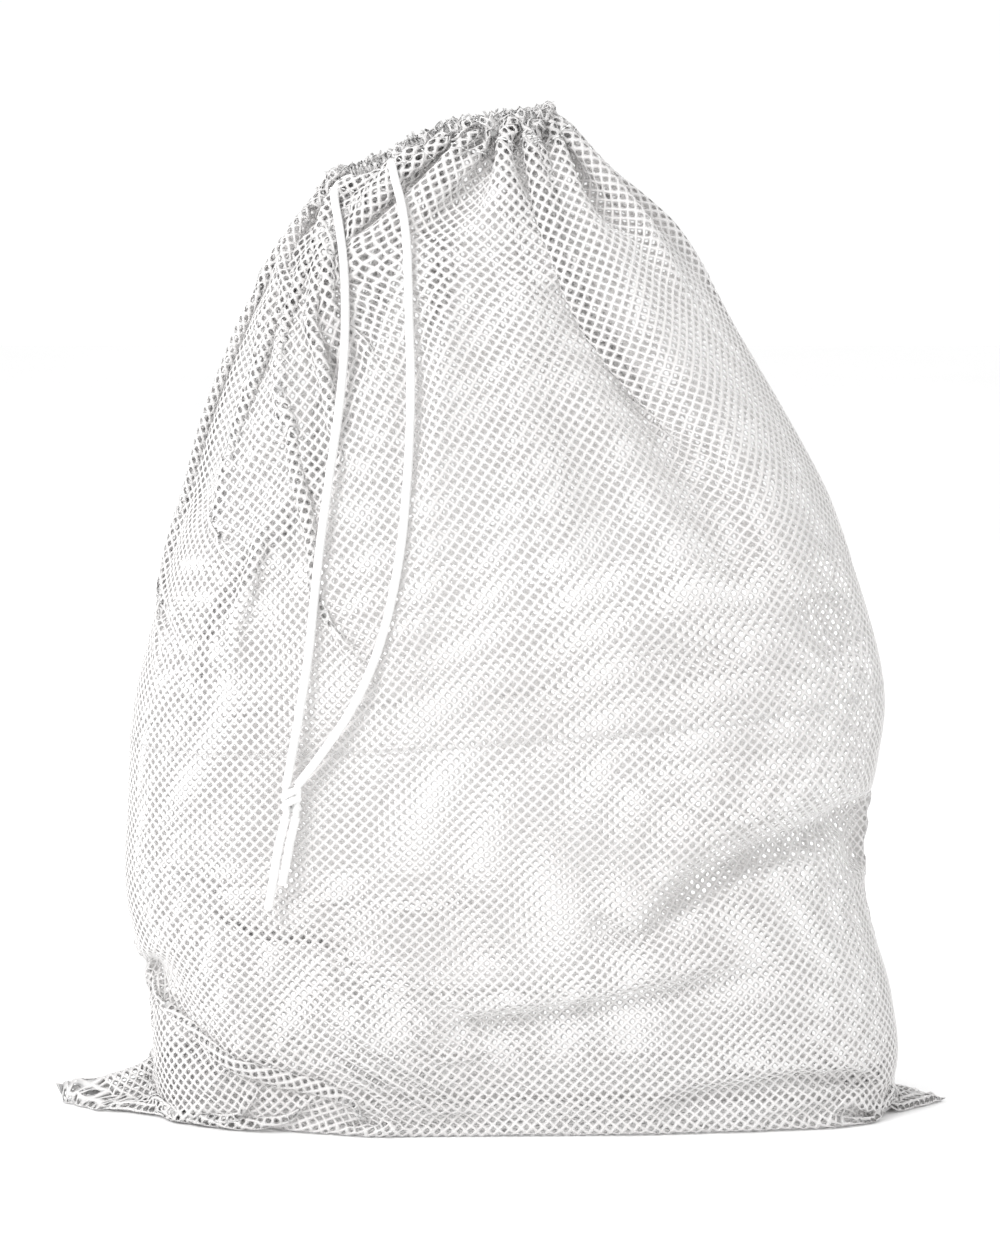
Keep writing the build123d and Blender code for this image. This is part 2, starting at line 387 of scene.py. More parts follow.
# ------------------------------------------------- the filling that holds the bag up
# Cross-sections in millimetres: height, left edge, right edge, half depth, squareness.
FILLING = np.array([
    (0, -224, 250, 93, 3.2),
    (25, -226, 259, 99, 3.1),
    (75, -228, 256, 107, 3.0),
    (140, -244, 238, 118, 2.65),
    (205, -243, 241, 127, 2.5),
    (270, -238, 250, 131, 2.4),
    (335, -221, 236, 130, 2.3),
    (400, -200, 210, 121, 2.2),
    (465, -181, 177, 105, 2.1),
    (530, -153, 138, 79, 2.1),
    (572, -127, 106, 56, 2.1),
])
HEIGHTS = FILLING[:, 0] * MM
FILL_TOP = HEIGHTS[-1]

# Folds pressed into the filling: side of the bag, route of (x, z) points, half width and
# depth, which is positive for a ridge. All in millimetres.
FRONT, BACK = -1, 1
FOLDS = [
    (FRONT, [(8, 640), (20, 590), (42, 538), (66, 500), (95, 462), (130, 405), (172, 330)], 15, -28),
    (FRONT, [(36, 640), (54, 590), (80, 545), (114, 500), (150, 450), (186, 395), (216, 330)], 26, 18),
    (FRONT, [(26, 530), (40, 470), (62, 400), (80, 318)], 15, -8),
    (FRONT, [(80, 318), (120, 312), (165, 318)], 9, -9),
    (FRONT, [(60, 470), (85, 400), (110, 350)], 20, -9),
    (FRONT, [(-4, 640), (0, 600), (2, 575)], 13, -36),
    (FRONT, [(-40, 640), (-36, 600), (-36, 520), (-42, 440), (-52, 370), (-64, 290), (-78, 190)], 9, 9),
    (FRONT, [(-52, 640), (-50, 600), (-52, 540), (-55, 470), (-62, 400)], 8, -18),
    (FRONT, [(-20, 640), (-18, 590), (-14, 520), (-12, 450)], 12, -9),
    (FRONT, [(-78, 190), (-66, 270), (-56, 350), (-46, 430)], 5, -6),
    (FRONT, [(-60, 575), (-84, 525), (-108, 480), (-140, 430), (-185, 370)], 12, -14),
    (FRONT, [(-70, 610), (-82, 580), (-105, 540), (-140, 480)], 11, 10),
    (FRONT, [(-90, 470), (-120, 410), (-150, 340), (-165, 280)], 14, -8),
    (FRONT, [(-150, 520), (-175, 440), (-195, 380)], 12, -9),
    (FRONT, [(250, 205), (215, 198), (170, 186), (130, 168), (100, 142), (84, 130)], 11, -26),
    (FRONT, [(250, 232), (200, 228), (150, 212), (110, 185), (84, 158)], 17, 10),
    (FRONT, [(56, 148), (70, 136), (88, 130), (104, 142)], 7, -10),
    (FRONT, [(240, 160), (228, 185), (236, 210)], 16, -18),
    (FRONT, [(-45, 74), (10, 78), (70, 88), (130, 101), (195, 112)], 8, -10),
    (FRONT, [(-45, 96), (70, 110), (190, 132)], 18, 6),
    (FRONT, [(92, 12), (130, 26), (190, 34), (255, 30)], 8, -12),
    (FRONT, [(-232, 112), (-214, 92), (-196, 62), (-186, 34)], 14, -13),
    (FRONT, [(-205, 140), (-182, 100), (-166, 66), (-160, 30)], 13, 5),
    (FRONT, [(-190, 40), (-150, 34), (-100, 30)], 10, -5),
    (FRONT, [(196, 352), (214, 318), (226, 300)], 12, -14),
    (BACK, [(-60, 640), (-74, 560), (-110, 480), (-150, 400)], 13, -20),
    (BACK, [(-30, 640), (-34, 570), (-50, 470), (-60, 380)], 12, -18),
    (BACK, [(0, 640), (12, 560), (20, 460), (40, 330)], 13, -21),
    (BACK, [(30, 640), (56, 560), (95, 480), (140, 380)], 14, -20),
    (BACK, [(-45, 640), (-55, 560), (-80, 470), (-105, 390)], 14, 10),
    (BACK, [(15, 640), (34, 560), (60, 470), (85, 380)], 15, 10),
    (BACK, [(-230, 150), (-150, 128), (-60, 118), (20, 126)], 12, -16),
    (BACK, [(60, 210), (130, 188), (240, 178)], 13, -16),
    (BACK, [(-120, 70), (-20, 60), (90, 66)], 11, -10),
]


def hermite(heights, values):
    """Smooth curve through the filling's cross-section values."""
    slope = np.gradient(values, HEIGHTS)
    low = np.clip(np.searchsorted(HEIGHTS, heights) - 1, 0, len(HEIGHTS) - 2)
    gap = HEIGHTS[low + 1] - HEIGHTS[low]
    t = np.clip((heights - HEIGHTS[low]) / gap, 0, 1)
    return (
        (2 * t**3 - 3 * t**2 + 1) * values[low]
        + (t**3 - 2 * t**2 + t) * gap * slope[low]
        + (3 * t**2 - 2 * t**3) * values[low + 1]
        + (t**3 - t**2) * gap * slope[low + 1]
    )


LEVELS = np.linspace(0, FILL_TOP, 300)
MIDDLES = hermite(LEVELS, (FILLING[:, 1] + FILLING[:, 2]) / 2 * MM)
HALF_WIDTHS = hermite(LEVELS, (FILLING[:, 2] - FILLING[:, 1]) / 2 * MM)
HALF_DEPTHS = hermite(LEVELS, FILLING[:, 3] * MM)
SQUARENESS = hermite(LEVELS, FILLING[:, 4])


def section(height):
    """Middle, half width, half depth and squareness of the filling at a height."""
    return [np.interp(height, LEVELS, row) for row in (MIDDLES, HALF_WIDTHS, HALF_DEPTHS, SQUARENESS)]


def distance_to(route, x, z):
    """Distance from points to a fold's route, and the share of the route gone by."""
    route = np.array(route, float) * MM
    gone = np.concatenate([[0], np.cumsum(np.hypot(*np.diff(route, axis=0).T))])
    nearest = np.full(x.shape, 9.0)
    share = np.zeros_like(x)
    for (start, stop), (before, after) in zip(zip(route, route[1:]), zip(gone, gone[1:])):
        run = stop - start
        t = np.clip(((x - start[0]) * run[0] + (z - start[1]) * run[1]) / (run @ run), 0, 1)
        away = np.hypot(x - start[0] - t * run[0], z - start[1] - t * run[1])
        closer = away < nearest
        nearest = np.where(closer, away, nearest)
        share = np.where(closer, (before + t * (after - before)) / gone[-1], share)
    return nearest, share


def ease(t):
    """Smooth step from 0 to 1."""
    t = np.clip(t, 0, 1)
    return t * t * (3 - 2 * t)


MAP_X = np.linspace(-0.30, 0.30, 241)
MAP_Z = np.linspace(0, 0.66, 265)
MOUTH_FOLD_FROM = 600  # a fold whose route starts this high runs out of the mouth


def fold_map(side):
    """Height of all the folds on one side of the bag, over its x and z."""
    x, z = np.meshgrid(MAP_X, MAP_Z, indexing="ij")
    total = np.zeros_like(x)
    for fold_side, route, width, depth in FOLDS:
        if fold_side == side:
            away, share = distance_to(route, x, z)
            fade = ease((1 - share) / 0.25)
            if route[0][1] < MOUTH_FOLD_FROM:
                fade = fade * ease(share / 0.2)
            total += depth * MM * fade * np.exp(-((away / (width * MM)) ** 2))
    return total


FOLD_MAPS = {side: fold_map(side) for side in (FRONT, BACK)}


def bilinear(table, x, z):
    """Value of a table over the bag's x and z."""
    along = np.clip((x - MAP_X[0]) / (MAP_X[1] - MAP_X[0]), 0, len(MAP_X) - 1.001)
    rise = np.clip((z - MAP_Z[0]) / (MAP_Z[1] - MAP_Z[0]), 0, len(MAP_Z) - 1.001)
    i, j = along.astype(int), rise.astype(int)
    s, t = along - i, rise - j
    return (
        table[i, j] * (1 - s) * (1 - t) + table[i + 1, j] * s * (1 - t)
        + table[i, j + 1] * (1 - s) * t + table[i + 1, j + 1] * s * t
    )


CORD_ROOM = 0.0048  # from a cord's centreline back to the middle of the cloth behind it
CORD_SIDE = 0.003
THROUGH_HOLE = 28  # points of each leg's path at its hole, where it comes through the cloth


def behind_cords(paths):
    """How far forward the cloth may come, over the bag's x and z, to stay behind the cords."""
    x, z = np.meshgrid(MAP_X, MAP_Z, indexing="ij")
    limit = np.full(x.shape, -9.0)
    for path in paths:
        for point in path[THROUGH_HOLE::6]:
            away = np.hypot(x - point[0], z - point[2])
            limit = np.maximum(limit, point[1] + CORD_ROOM - 4 * np.maximum(away - CORD_SIDE, 0))
    return limit


CORD_LIMIT = behind_cords((left_path, right_path))

SEAM_EASE = 0.02  # folds fade out this near the side seams


def fold_height(x, y, z):
    """How far the folds stand out of the filling at each place."""
    height = np.where(y < 0, bilinear(FOLD_MAPS[FRONT], x, z), bilinear(FOLD_MAPS[BACK], x, z))
    return height * np.clip(np.abs(y) / SEAM_EASE, 0, 1)


# --------------------------------------------------------------------------- the mouth
RING_LENGTH = 4 * RING_STRAIGHT + 2 * pi * RING_ROUND
MOUTH_RIGHT = np.array([cos(MOUTH_TILT), 0, sin(MOUTH_TILT)])
MOUTH_UP = np.array([-sin(MOUTH_TILT), 0, cos(MOUTH_TILT)])
MOUTH_BACK = np.array([0.0, 1.0, 0.0])
# Where each part of the cloth's edge sits on the cord: metres of flat cloth from the left
# seam, and share of the cord's loop from its left end. The stretch between the two holes
# that the cord leaves by isn't gathered.
LEFT_HOLE_CLOTH, RIGHT_HOLE_CLOTH = 0.150, 0.192
CLOTH_KNOTS = [0, LEFT_HOLE_CLOTH, RIGHT_HOLE_CLOTH, 0.40, 0.64, 0.915, ROUND]
RING_KNOTS = [-0.055, 0.03, 0.145, 0.385, 0.53, 0.74, 0.945]


# The mouth isn't straight: how far it stands above its own line, along that line.
BOW_ALONG = [-0.072, -0.036, -0.012, 0.012, 0.040, 0.072]
BOW_RISE = [0, 0, 0.0065, 0.007, 0.002, -0.004]


def cord_ring(share):
    """Point on the cord's loop, at a share of its length, and its outward direction."""
    gone = (share % 1) * RING_LENGTH
    quarter = pi * RING_ROUND / 2
    ends = np.cumsum([0, quarter, 2 * RING_STRAIGHT, 2 * quarter, 2 * RING_STRAIGHT])
    stretch = np.searchsorted(ends, gone, side="right") - 1
    past = gone - ends[stretch]
    rounded = past / RING_ROUND
    turn = np.choose(stretch, [pi + rounded, 1.5 * pi, 1.5 * pi + rounded, 0.5 * pi, 0.5 * pi + rounded])
    left, right = -RING_STRAIGHT, RING_STRAIGHT
    middle = np.choose(stretch, [left, past - RING_STRAIGHT, right, RING_STRAIGHT - past, left])
    outward = np.cos(turn)[:, None] * MOUTH_RIGHT + np.sin(turn)[:, None] * MOUTH_BACK
    centre = np.array([MOUTH_X, 0, MOUTH_Z]) + MOUTH_UP * CORD_RISE
    bow = np.interp(middle + RING_ROUND * (outward @ MOUTH_RIGHT), BOW_ALONG, BOW_RISE)
    return centre + middle[:, None] * MOUTH_RIGHT + RING_ROUND * outward + bow[:, None] * MOUTH_UP, outward


PLEAT = 0.0246  # flat cloth in one pleat of the gathers
PLEAT_DEEP = 0.0036
CORD_COVER = 0.0032  # cloth's middle outside the cord's centreline, at a pleat's bottom


def gathered_edge(columns, pleated):
    """Where each column of the cloth crosses the cord."""
    cloth = np.arange(columns) * ROUND / columns
    ring, outward = cord_ring(np.interp(cloth, CLOTH_KNOTS, RING_KNOTS))
    uneven = np.random.default_rng(3)
    marks = np.arange(0, ROUND + 0.03, 0.03)
    phase = (cloth + np.interp(cloth, marks, uneven.uniform(-0.004, 0.004, len(marks)))) / PLEAT * 2 * pi
    depth = PLEAT_DEEP * np.interp(cloth, marks, uneven.uniform(0.7, 1.35, len(marks)))
    past_holes = np.maximum(LEFT_HOLE_CLOTH - cloth, cloth - RIGHT_HOLE_CLOTH)
    depth = depth * ease(past_holes / 0.02)
    wave = depth * (1 + np.sin(phase)) if pleated else depth
    return ring + outward * (CORD_COVER + wave)[:, None]


# ------------------------------------------------------------------- draping the cloth
SKIN = 0.0035  # height of the filling's underside above the floor
LOW_EDGE = 0.012  # below this height the filling's wall curves in
PLANE_GAP = 0.0014  # from the floor to the middle of the cloth that lies on it
START_REACH = 0.018  # flat cloth that first climbs from the floor to START_HEIGHTS' third
START_HEIGHTS = (0.0012, 0.004, 0.02)  # of the seam, the floor's edge and the wall's foot


def start_shape(columns, rows):
    """The cloth wrapped round the filling, before it is let go."""
    cloth = np.arange(columns) * ROUND / columns
    up_cloth = np.arange(rows + 1) * TALL / rows
    marks = [0, FLOOR_REACH, FLOOR_REACH + START_REACH, NECK_CLOTH]
    height_of = np.interp(up_cloth, marks, [*START_HEIGHTS, FILL_TOP])
    shape = np.zeros((columns, rows + 1, 3))
    turn = np.linspace(pi, 3 * pi, 721)
    on_front = cloth < ROUND / 2
    gone_along = 4 * SEAM_HALF * cloth / ROUND
    seam_x = np.where(on_front, -SEAM_HALF + gone_along, 3 * SEAM_HALF - gone_along)
    for row, height in enumerate(height_of):
        middle, half_width, half_depth, squareness = section(height)
        x = middle + half_width * np.sign(np.cos(turn)) * np.abs(np.cos(turn)) ** (2 / squareness)
        y = half_depth * np.sign(np.sin(turn)) * np.abs(np.sin(turn)) ** (2 / squareness)
        gone = np.concatenate([[0], np.cumsum(np.hypot(np.diff(x), np.diff(y)))])
        shape[:, row, 0] = np.interp(cloth / ROUND, gone / gone[-1], x)
        shape[:, row, 1] = np.interp(cloth / ROUND, gone / gone[-1], y)
        shape[:, row, 2] = height
        share = up_cloth[row] / FLOOR_REACH
        if share < 1:
            shape[:, row, 0] = seam_x * (1 - share) + shape[:, row, 0] * share
            shape[:, row, 1] *= share
    cord_row = round((TALL - CORD_BELOW_TOP) / TALL * rows)
    edge = gathered_edge(columns, False)
    neck_row = np.searchsorted(up_cloth, NECK_CLOTH) - 1
    for row in range(neck_row + 1, rows + 1):
        share = min(1, (row - neck_row) / (cord_row - neck_row))
        above = max(0.0, up_cloth[row] - up_cloth[cord_row])
        shape[:, row] = shape[:, neck_row] * (1 - share) + edge * share + MOUTH_UP * above
    return shape, cord_row


UNDER_BELOW = 0.03  # below this height cloth inside the filling may go under it
CLING_FROM, CLING_TO = 0.006, FILL_TOP - 0.03  # heights the cloth clings between


def push_out(points, cling):
    """Keeps points outside the filling and above the floor.

    Cling is the share of a slack place's gap to the filling that is closed.
    """
    x, y, z = points[:, 0], points[:, 1], points[:, 2]
    middle, half_width, half_depth, squareness = section(np.clip(z, 0, FILL_TOP))
    across, deep = (x - middle) / half_width, y / half_depth
    reach = (np.abs(across) ** squareness + np.abs(deep) ** squareness) ** (1 / squareness) + 1e-9
    metres = np.hypot(x - middle, y) / reach + 1e-9
    wall = 1 + fold_height(x, y, z) / metres
    curved_in = 1 - 0.10 * (1 - np.clip(z, 0, LOW_EDGE) / LOW_EDGE) ** 2
    wall = np.where(z < LOW_EDGE, wall * curved_in, wall)
    depth = (wall - reach) * metres
    inside = (depth > 0) & (z < FILL_TOP)
    under = inside & (z - SKIN < depth) & (z < UNDER_BELOW)
    scale = np.where(inside & ~under, wall / reach, 1.0)
    if cling > 0:
        near = (depth <= 0) & (depth > -CLING_REACH) & (z < CLING_TO) & (z > CLING_FROM)
        share = cling * np.interp(z, [GATHERED_FROM, GATHERED_BY], [1, CLING_UPPER])
        scale = np.where(near, 1 + (wall / reach - 1) * share, scale)
    points[:, 0] = middle + (x - middle) * scale
    points[:, 1] = y * scale
    behind = np.maximum(points[:, 1], np.maximum(bilinear(CORD_LIMIT, points[:, 0], z), -1))
    points[:, 1] = np.where(y < 0, behind, points[:, 1])
    points[:, 2] = np.maximum(np.where(under, np.minimum(z, SKIN), z), PLANE_GAP)


def thread_pairs(columns, rows):
    """Threads of the cloth in sets that share no point: ends, rest length, kind."""
    index = np.arange(columns * (rows + 1)).reshape(columns, rows + 1)
    across, up = ROUND / columns, TALL / rows
    slant = float(np.hypot(across, up))
    sets = []

    def add(one, other, rest, kind):
        sets.append((one.ravel(), other.ravel(), rest, kind))

    right = np.roll(index, -1, axis=0)
    column_set, row_set = np.arange(columns), np.arange(rows)
    for odd in (0, 1):
        chosen = column_set % 2 == odd
        add(index[chosen], right[chosen], across, "thread")
        add(index[:, :-1][:, row_set % 2 == odd], index[:, 1:][:, row_set % 2 == odd], up, "thread")
        add(index[chosen][:, :-1], right[chosen][:, 1:], slant, "shear")
        add(index[chosen][:, 1:], right[chosen][:, :-1], slant, "shear")
    next_right = np.roll(index, -2, axis=0)
    for quarter in range(4):
        chosen = column_set % 4 == quarter
        add(index[chosen], next_right[chosen], 2 * across, "bend")
        chosen = row_set[:-1] % 4 == quarter
        add(index[:, :-2][:, chosen], index[:, 2:][:, chosen], 2 * up, "bend")
    return sets


PUSH = 0.95  # share of a squeezed thread's length that comes back
SHEAR = 0.35  # the same share across a thread cell
BEND = 0.5  # and over two cells, which keeps the cloth from creasing sharply
GRAVITY = 0.00006  # metres per step per step
DRAG = 0.9  # share of a step's speed that the next one keeps
MOST_MOVE = 0.004  # metres in one step
CLING = 0.22
CLING_REACH = 0.05  # cloth further from the filling than this hangs free
CLING_UPPER = 0.3  # share of the cling left where the cloth is gathered towards the neck
GATHERED_FROM, GATHERED_BY = 0.30, 0.42  # heights the cling goes down between
ROUNDS = 6  # corrections of every thread in one step

EAR_LONG = 0.052  # stretch of each seam that lies straight, from a free corner's tip
EAR_FOLD = 0.032  # stretch of the folds between the two seams that lies on the floor
# The free bottom corners: tip, and where the side seam's and bottom seam's stretches end.
EARS = [
    ((-0.2925, 0, 0.012), (-0.2420, 0, 0.0245), (-0.2410, 0, 0.0015)),
    ((0.2935, 0, 0.002), (0.2450, 0, 0.0150), (0.2420, 0, 0.0015)),
]


def ear_pins(columns, rows):
    """Grid points of the free corners' seams that stay put: column, row and place."""
    pins = []
    for start, (tip, side_end, bottom_end) in zip((0, columns // 2), EARS):
        tip = np.array(tip)
        for row in range(int(EAR_LONG * rows / TALL) + 1):
            share = row * TALL / rows / EAR_LONG
            pins.append((start, row, tip + (np.array(side_end) - tip) * share))
        for step in range(1, int(EAR_LONG * columns / ROUND) + 1):
            place = tip + (np.array(bottom_end) - tip) * (step * ROUND / columns / EAR_LONG)
            pins += [((start + step) % columns, 0, place), ((start - step) % columns, 0, place)]
        inward = -np.sign(tip[0])
        for step in range(1, int(EAR_FOLD * columns / ROUND) + 1):
            far = step * ROUND / columns
            row = round(far * rows / TALL)
            forward = -1 if start == 0 else 1
            for side in (1, -1):
                spot = np.array([tip[0] + inward * far, side * forward * far, PLANE_GAP])
                pins.append(((start + side * step) % columns, row, spot))
    return pins


def let_go(shape, cord_row, edge, steps):
    """Position-based simulation of the cloth, held on the cord and sewn shut below."""
    columns, count = shape.shape[:2]
    place = shape.reshape(-1, 3).copy()
    speed = np.zeros_like(place)
    index = np.arange(columns * count).reshape(columns, count)
    held = index[:, cord_row]
    free = np.ones(len(place))
    free[held] = 0
    pins = ear_pins(columns, count - 1)
    pinned = np.array([index[column, row] for column, row, _ in pins])
    pin_places = np.array([spot for _, _, spot in pins])
    free[pinned] = 0
    seam, seam_partner = index[:, 0], index[-np.arange(columns) % columns, 0]
    sets = thread_pairs(columns, count - 1)
    for _ in range(steps):
        speed *= DRAG
        speed[:, 2] -= GRAVITY
        before = place.copy()
        place = place + speed
        place[held] = edge
        place[pinned] = pin_places
        for turn in range(ROUNDS):
            for one, other, rest, kind in sets:
                gap = place[other] - place[one]
                length = np.sqrt((gap * gap).sum(1)) + 1e-12
                share = (length - rest) / length
                if kind == "bend":
                    share = np.where(share < 0, share * BEND, 0)
                elif kind == "shear":
                    share = share * SHEAR
                else:
                    share = np.where(share > 0, share, share * PUSH)
                weight = np.maximum(free[one] + free[other], 1)
                move = (share / weight)[:, None] * gap
                place[one] += move * free[one][:, None]
                place[other] -= move * free[other][:, None]
            place[seam] = (place[seam] + place[seam_partner]) / 2
            push_out(place, CLING if turn == ROUNDS - 1 else 0)
        speed = place - before
        size = np.sqrt((speed * speed).sum(1))
        speed *= np.minimum(1, MOST_MOVE / (size + 1e-9))[:, None]
    return place.reshape(shape.shape)


def halfway(before, here, there, after):
    """Smooth value in the middle of four values in a row."""
    return (9 * (here + there) - before - after) / 16


def finer(shape):
    """The same cloth with twice the columns and rows."""
    columns, count = shape.shape[:2]
    wide = np.zeros((columns * 2, count, 3))
    wide[::2] = shape
    wide[1::2] = halfway(np.roll(shape, 1, 0), shape, np.roll(shape, -1, 0), np.roll(shape, -2, 0))
    fine = np.zeros((columns * 2, count * 2 - 1, 3))
    fine[:, ::2] = wide
    padded = np.concatenate([2 * wide[:, :1] - wide[:, 1:2], wide, 2 * wide[:, -1:] - wide[:, -2:-1]], 1)
    fine[:, 1::2] = halfway(padded[:, :-3], padded[:, 1:-2], padded[:, 2:-1], padded[:, 3:])
    return fine


COARSE_COLUMNS, COARSE_ROWS = 124, 80
UNEVEN = 0.0008  # spread of the start shape's places, so that no two folds come out alike
COARSE_STEPS, FINE_STEPS = ((150, 60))
drape, cord_row = start_shape(COARSE_COLUMNS, COARSE_ROWS)
drape = drape + chance.normal(0, UNEVEN, drape.shape)
drape = let_go(drape, cord_row, gathered_edge(COARSE_COLUMNS, False), COARSE_STEPS)
drape = finer(drape)
drape = let_go(drape, cord_row * 2, gathered_edge(COARSE_COLUMNS * 2, True), FINE_STEPS)


# --------------------------------------------------------------- the cloth as a surface
def surface_normals(shape):
    """Outward direction at each grid point of the drape."""
    across = np.roll(shape, -1, 0) - np.roll(shape, 1, 0)
    return unit(np.cross(across, np.gradient(shape, axis=1)))


DRAPE_NORMALS = surface_normals(drape)


def cubic_weights(t):
    """Shares of four neighbours in the smooth value at t between the middle two."""
    return [
        (-t + 2 * t**2 - t**3) / 2,
        (2 - 5 * t**2 + 3 * t**3) / 2,
        (t + 4 * t**2 - 3 * t**3) / 2,
        (t**3 - t**2) / 2,
    ]


def on_cloth(cloth, up_cloth, table):
    """Smooth value of a grid table at flat cloth places."""
    columns, count = table.shape[:2]
    i_place = cloth / ROUND * columns
    j_place = np.clip(up_cloth / TALL * (count - 1), 0, count - 1.0001)
    i, j = np.floor(i_place).astype(int), np.floor(j_place).astype(int)
    weights_i, weights_j = cubic_weights(i_place - i), cubic_weights(j_place - j)
    total = np.zeros((len(cloth), 3))
    for step_i, weight_i in enumerate(weights_i):
        for step_j, weight_j in enumerate(weights_j):
            value = table[(i + step_i - 1) % columns, np.clip(j + step_j - 1, 0, count - 1)]
            total += (weight_i * weight_j)[:, None] * value
    return total


def place_on_cloth(cloth, up_cloth, lift):
    """Points on the draped cloth, lifted along its outward normal."""
    normal = unit(on_cloth(cloth, up_cloth, DRAPE_NORMALS))
    return on_cloth(cloth, up_cloth, drape) + normal * np.reshape(lift, (-1, 1))


# ----------------------------------------------------------------------------- the net
COLUMN_PITCH = ROUND / HOLE_COLUMNS
HOLE_ROWS = round(TALL / ROW_PITCH) - 1
# Half a hole's height and width, and half the height of its two upright sides.
HOLE_TALL, HOLE_WIDE, HOLE_SIDE = 0.00175, 0.00138, 0.00085
HOLE_SPREAD = 0.07  # holes differ from one another by this share either way


def net_piece(name, columns, rows, material, layer=place_on_cloth):
    """Net between two hole columns and two hole rows, as a closed sheet with real holes."""
    row_up = TALL / (HOLE_ROWS + 1)
    col, row = np.meshgrid(np.arange(*columns), np.arange(*rows), indexing="ij")
    col, row = col.ravel(), row.ravel()
    shift = row % 2
    middle_u = (col + shift / 2) * COLUMN_PITCH
    middle_v = (row + 1) * row_up

    # Knots of yarn, one to the right of each hole, are numbered by column and row.
    def knot(knot_col, knot_row):
        return (knot_col % (2 * HOLE_COLUMNS)) * (HOLE_ROWS + 3) + knot_row + 1

    left = knot(col - 1 + shift, row)
    right = knot(col + shift, row)
    top = knot(col, row + 1)
    bottom = knot(col, row - 1)
    used, number = np.unique(np.concatenate([left, right, top, bottom]), return_inverse=True)
    left, right, top, bottom = number.reshape(4, -1)
    knot_col, knot_row = used // (HOLE_ROWS + 3), used % (HOLE_ROWS + 3) - 1
    knot_u = (knot_col + np.where(knot_row % 2 == 0, 0.5, 0.0)) * COLUMN_PITCH
    knot_v = (knot_row + 1) * row_up
    count = len(used)
    size = 1 + chance.uniform(-HOLE_SPREAD, HOLE_SPREAD, len(col))
    rim_u = np.stack([middle_u + side * HOLE_WIDE * size for side in (0, 1, 1, 0, -1, -1)])
    rises = (HOLE_TALL, HOLE_SIDE, -HOLE_SIDE, -HOLE_TALL, -HOLE_SIDE, HOLE_SIDE)
    rim_v = np.stack([middle_v + rise * size for rise in rises])
    half = CLOTH_THICK / 2
    points = np.concatenate([
        layer(knot_u, knot_v, np.full(count, half)),
        layer(knot_u, knot_v, np.full(count, -half)),
        layer(rim_u.ravel(), rim_v.ravel(), np.zeros(rim_u.size)),
    ])
    t, ur, lr, b, ll, ul = 2 * count + np.arange(6 * len(col)).reshape(6, -1)
    quads = [(left, ul, t, top), (top, t, ur, right), (right, lr, b, bottom), (bottom, b, ll, left)]
    sides = [(left, ll, ul), (right, ur, lr)]
    quads = np.concatenate([np.stack(quad, -1) for quad in quads])
    sides = np.concatenate([np.stack(side, -1) for side in sides])

    def inner_face(faces):
        return np.where(faces < count, faces + count, faces)[:, ::-1]

    pairs = ((left, top), (top, right), (right, bottom), (bottom, left))
    outer_edges = np.concatenate([np.stack(pair, -1) for pair in pairs])
    keys = np.sort(outer_edges, 1)
    _, first, uses = np.unique(keys, axis=0, return_index=True, return_counts=True)
    rim = outer_edges[first[uses == 1]]
    closing = np.stack([rim[:, 0], rim[:, 1], rim[:, 1] + count, rim[:, 0] + count], -1)
    quads = np.concatenate([quads, inner_face(quads), closing])
    sides = np.concatenate([sides, inner_face(sides)])
    return mesh_from(name, points, quads, material, sides)


FRONT_COLUMNS = (0, HOLE_COLUMNS // 2)
BACK_COLUMNS = (HOLE_COLUMNS // 2, HOLE_COLUMNS)
CHANNEL_ROWS = round(CHANNEL_BAND / ROW_PITCH)
BODY_ROWS = HOLE_ROWS - CHANNEL_ROWS
BANDS = 2  # net pieces on each side of the bag, one above the other

net_pieces = {}
for side, columns in (("front", FRONT_COLUMNS), ("back", BACK_COLUMNS)):
    for band in range(BANDS):
        rows = (BODY_ROWS * band // BANDS, BODY_ROWS * (band + 1) // BANDS)
        piece = net_piece(f"{side}_net_{band + 1}", columns, rows, MESH_CLOTH)
        net_pieces[side, band] = piece


# ------------------------------------------------------------ channel, seams, stitches
CHANNEL_FROM = (BODY_ROWS + 1) * TALL / (HOLE_ROWS + 1)


def smooth_ring(cloth, up_cloth):
    """The ungathered surface of the cord's loop under each place of the channel's cloth."""
    ring, _ = cord_ring(np.interp(cloth % ROUND, CLOTH_KNOTS, RING_KNOTS))
    return ring + (up_cloth - (TALL - CORD_BELOW_TOP))[:, None] * MOUTH_UP


INNER_GATHER = 0.55  # depth of the turned-down layer's gathers, as a share of the outer's


def inner_layer(cloth, up_cloth, lift):
    """The turned-down layer of the channel, on the cord's inner side."""
    outer = place_on_cloth(cloth % ROUND, up_cloth, -lift)
    ring = smooth_ring(cloth, up_cloth)
    share = np.clip((up_cloth - CHANNEL_FROM) / (TALL - CHANNEL_FROM), 0, 1)
    open_share = ease(share / 0.35) * ease((1 - share) / 0.25)
    inside = ring - (outer - ring) * INNER_GATHER
    joined = place_on_cloth(cloth % ROUND, up_cloth, np.full(len(cloth), -CLOTH_THICK * 1.6) - lift)
    return joined + (inside - joined) * open_share[:, None]


CHANNEL_SPAN = (BODY_ROWS, HOLE_ROWS)
channel_outer = net_piece("channel_outer_net", (0, HOLE_COLUMNS), CHANNEL_SPAN, CHANNEL_CLOTH)
channel_inner = net_piece("channel_inner_net", (0, HOLE_COLUMNS), CHANNEL_SPAN, CHANNEL_CLOTH, inner_layer)


